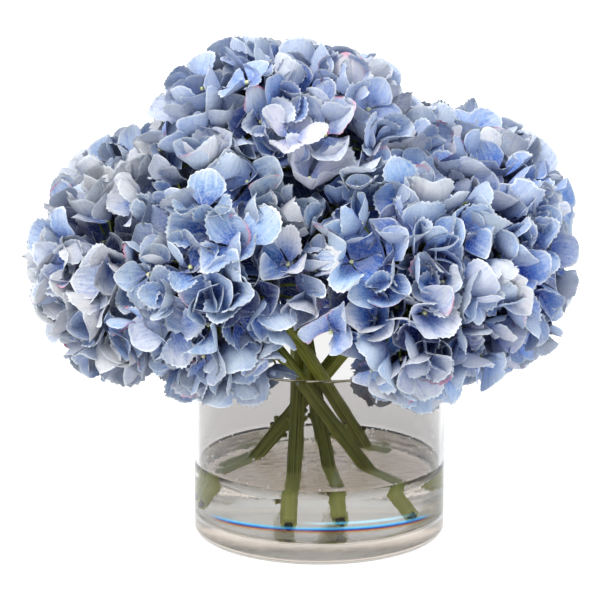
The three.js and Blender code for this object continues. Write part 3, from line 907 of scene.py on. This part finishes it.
def floretSpots(bloom, planes, members, rng):
    # golden-angle spots on the bunch's outline, and a second lot deep inside the head
    h, g = headValues, gapValues
    turn = turnTo(bloom["axis"]).to_3x3()
    centre, reach, power = members[0]
    spots = []
    for layer, count in (("outer", h["florets"]), ("inner", h["innerFlorets"])):
        capCos = math.cos(math.radians(h["lastPolar"] if layer == "outer" else h["innerPolar"]))
        for k in range(count):
            height = 1 - (k + 0.5) / count * (1 - capCos)
            bearing = k * goldenAngle + bloom["shuffle"]
            flat = math.sqrt(max(0.0, 1 - height * height))
            ray = turn @ Vector((flat * math.cos(bearing), flat * math.sin(bearing), height))
            ray = (ray + anyWay(rng) * h["scatter"]).normalized()
            level = sum(abs(part) ** power for part in ray) ** (1 / power)
            place = centre + Vector((ray.x * reach.x, ray.y * reach.y, ray.z * reach.z)) / level
            past, way = outlineOf(place, members)
            tilt = math.radians(h["tilt"] * rng.random() ** 0.5)
            lean = anyWay(rng).cross(ray).normalized()
            size = rng.uniform(*h["size"])
            lift = rng.uniform(*(h["lift"] if layer == "outer" else h["innerLift"]))
            spread = rng.uniform(*h["depthSpread"])
            if layer == "outer":
                if past < -h["deepest"] * mm:
                    continue
                for again in range(3):
                    place -= way * past
                    past, way = outlineOf(place, members)
                # the eye sits so deep that the petals' tips come to the outline
                tip = 0.45 * math.sin(math.radians(lift))
                tip += 0.55 * math.sin(min(math.pi / 2, math.radians(lift) + tilt))
                place -= way * (petalValues["length"] * size * tip + spread) * mm
            else:
                place = centre.lerp(place, h["innerShare"])
                way = ray
            onWall = (place.z < vaseValues["height"] + g["softOutside"]
                      and abs(place.xy.length - vaseValues["radius"]) < g["wallBand"])
            if (onWall or inClearing(place, g["clearing"]) or stemTree.find(place)[2] < g["stemTree"]
                    or any(beyond(place, *plane) > -g["border"] for plane in planes)):
                continue
            facing = way * math.cos(tilt) + lean * math.sin(tilt)
            spots.append((place, facing.normalized(), lift, size, layer))
    return spots


def makeHead(name, bloom, materials):
    h = headValues
    rng = random.Random(bloom["shuffle"] + 7000)
    axis, stemEnd = bloom["axis"], bloom["route"][-1]
    planes, members = partingPlanes(name)
    palette = [linearColour(code) for code in bloom["palette"]]
    bm = bmesh.new()
    stalks = bmesh.new()
    spots = floretSpots(bloom, planes, members, rng)
    faceCount = 0
    for eye, facing, lift, size, layer in spots:
        stand = turnTo(facing, rng.uniform(0, math.tau))
        tone = mixColour(rng.choice(palette), rng.choice(palette), rng.uniform(0.0, 0.5))
        bright = rng.uniform(*h["toneSpread"]) * bloom["bright"]
        # painted shade: the inner layer's florets are tinted dark navy, as the shade deep in the head
        layerPaintedShade = (1, 1, 1) if layer == "outer" else h["innerPaintedShade"]
        tone = [c * bright * share for c, share in zip(tone, layerPaintedShade)]
        tone = [c * min(1.0, h["palest"] / max(tone[:3])) for c in tone]
        inside = eye.z < vaseValues["height"] + gapValues["aboveRim"] and eye.xy.length < innerRadius
        for k in range(4):
            petalLift = math.radians(lift + rng.uniform(-1, 1) * h["petalLiftSpread"])
            petalTurn = math.radians(90 * k + rng.uniform(-1, 1) * h["petalTurn"])
            step = Matrix.Translation(Vector((0, 0, h["petalStep"] * (k % 2))))
            place = (Matrix.Translation(eye) @ stand @ Matrix.Rotation(petalTurn, 4, "Z") @ step
                     @ Matrix.Translation(Vector((0, petalValues["clawOffset"] * mm, 0)))
                     @ Matrix.Rotation(petalLift, 4, "X")
                     @ Matrix.Rotation(math.radians(rng.uniform(-1, 1) * h["petalRoll"]), 4, "Y"))
            grow = size * rng.uniform(0.92, 1.08) * mm
            mirror = rng.choice((-1, 1))
            scale = Matrix.Diagonal((grow * rng.uniform(0.92, 1.08) * mirror, grow, grow, 1))
            shade = rng.uniform(*h["petalShade"])
            pink = 1.0 if rng.random() < h["pinkChance"] else 0.0
            colour = [min(0.95, c * shade) for c in tone]
            kind = rng.choice(petalKinds)
            along = Vector((0, petalValues["length"] * grow, 0))
            if inClearing(place @ (along * 0.6), 0.003) or inClearing(place @ along, 0.001):
                continue
            petal = kind.copy()
            petal.transform(place @ scale)
            if mirror < 0:
                petal.flip_normals()
            tints = []
            for vert in petal.vertices:
                vert.co, past = settle(vert.co, members, planes, inside)
                # painted shade: petals are painted a darker, deeper blue the deeper they lie in the head
                deep = (-past / mm - h["shadeFrom"]) / (h["shadeTo"] - h["shadeFrom"])
                deep = max(0.0, min(1.0, deep)) * bloom["shade"]
                tints += [c * (1 - deep + deep * share) for c, share in zip(colour, h["shadeTone"])] + [pink]
            petal.attributes["tint"].data.foreach_set("color", tints)
            bendOverRim(petal)
            pourIn(bm, petal)
            faceCount += 1
        button = eyeButton.copy()
        button.transform(Matrix.Translation(eye + facing * h["eyeLift"]) @ stand)
        pourIn(bm, button)
        spread = eye - stemEnd
        middle = stemEnd + axis * spread.length * 0.45 + spread * 0.25
        stalkTube(stalks, stemEnd + spread.normalized() * h["stalkFrom"], middle,
                  eye - facing * h["stalkSink"], [radius * mm for radius in h["stalkRadius"]])
    pourIn(bm, meshOf(stalks, "stalks"))
    piece = finishPiece(bm, "head" + name, materials, "bloom_" + bloom["node"])
    print("head", name, len(spots), "florets,", faceCount, "petals,", len(piece.data.polygons), "faces")


headMaterials = [petalMaterial(), eyeMaterial(), stalkMaterial()]
petalKinds = [petalKind(number) for number in range(petalValues["kinds"])]
eyeButton = makeEyeButton()
for name, bloom in blooms.items():
    makeHead(name, bloom, headMaterials)
print("heads made")


stageValues = {
    "floorSize": 12, "floorDrop": 0.0003, "floorGlow": 0.80, "floorTones": ("a0a0a1", "a4a4a4"),
    "sky": 0.84, "skyColour": (0.82, 0.92, 1.0, 1.0), "sun": 2.2, "sunColour": (1.0, 0.95, 0.87),
    "sunAngle": 36, "sunFrom": (-0.55, -0.65, 1.30),
    "fill": 1.0, "fillSize": 1.2, "fillPlace": (1.3, -1.1, 0.9), "fillFrom": (1.3, -1.1, 0.75),
    "bounces": 24,  # light crosses many walls of glass and water on its way
}


def makeFloor():
    v = stageValues
    bm = bmesh.new()
    bmesh.ops.create_grid(bm, x_segments=8, y_segments=8, size=v["floorSize"])
    bmesh.ops.translate(bm, vec=(0, 0, -v["floorDrop"]), verts=bm.verts[:])
    mesh = meshOf(bm, "floor")
    paper = Shader("paleFloor")
    speckle = paper.noise(paper.objectPoint(), 40, 2)
    paper.set(Base_Color=paper.mix(speckle, *v["floorTones"]), Roughness=0.9, Specular_IOR_Level=0.1,
              Emission_Color=(1.0, 1.0, 1.0, 1.0), Emission_Strength=v["floorGlow"])
    mesh.materials.append(paper.material)
    addObject("floor", mesh)


def addLamp(name, kind, strength, fromWay):
    lamp = bpy.data.lights.new(name, kind)
    lamp.energy = strength
    holder = addObject(name, lamp)
    holder.rotation_euler = Vector(fromWay).to_track_quat("Z", "Y").to_euler()
    return lamp, holder


def makeLight():
    v, scene = stageValues, bpy.context.scene
    scene.world = bpy.data.worlds.new("softRoom")
    scene.world.use_nodes = True
    sky = scene.world.node_tree.nodes["Background"]
    sky.inputs["Color"].default_value = v["skyColour"]
    sky.inputs["Strength"].default_value = v["sky"]
    sun, _ = addLamp("key", "SUN", v["sun"], v["sunFrom"])
    sun.angle = math.radians(v["sunAngle"])
    sun.color = v["sunColour"]
    fill, holder = addLamp("fill", "AREA", v["fill"], v["fillFrom"])
    fill.size = v["fillSize"]
    holder.location = v["fillPlace"]
    scene.view_settings.view_transform = "Standard"
    scene.view_settings.look = "Medium High Contrast"
    scene.cycles.max_bounces = v["bounces"]
    scene.cycles.transmission_bounces = v["bounces"]


makeFloor()
makeLight()
print("floor and light made")
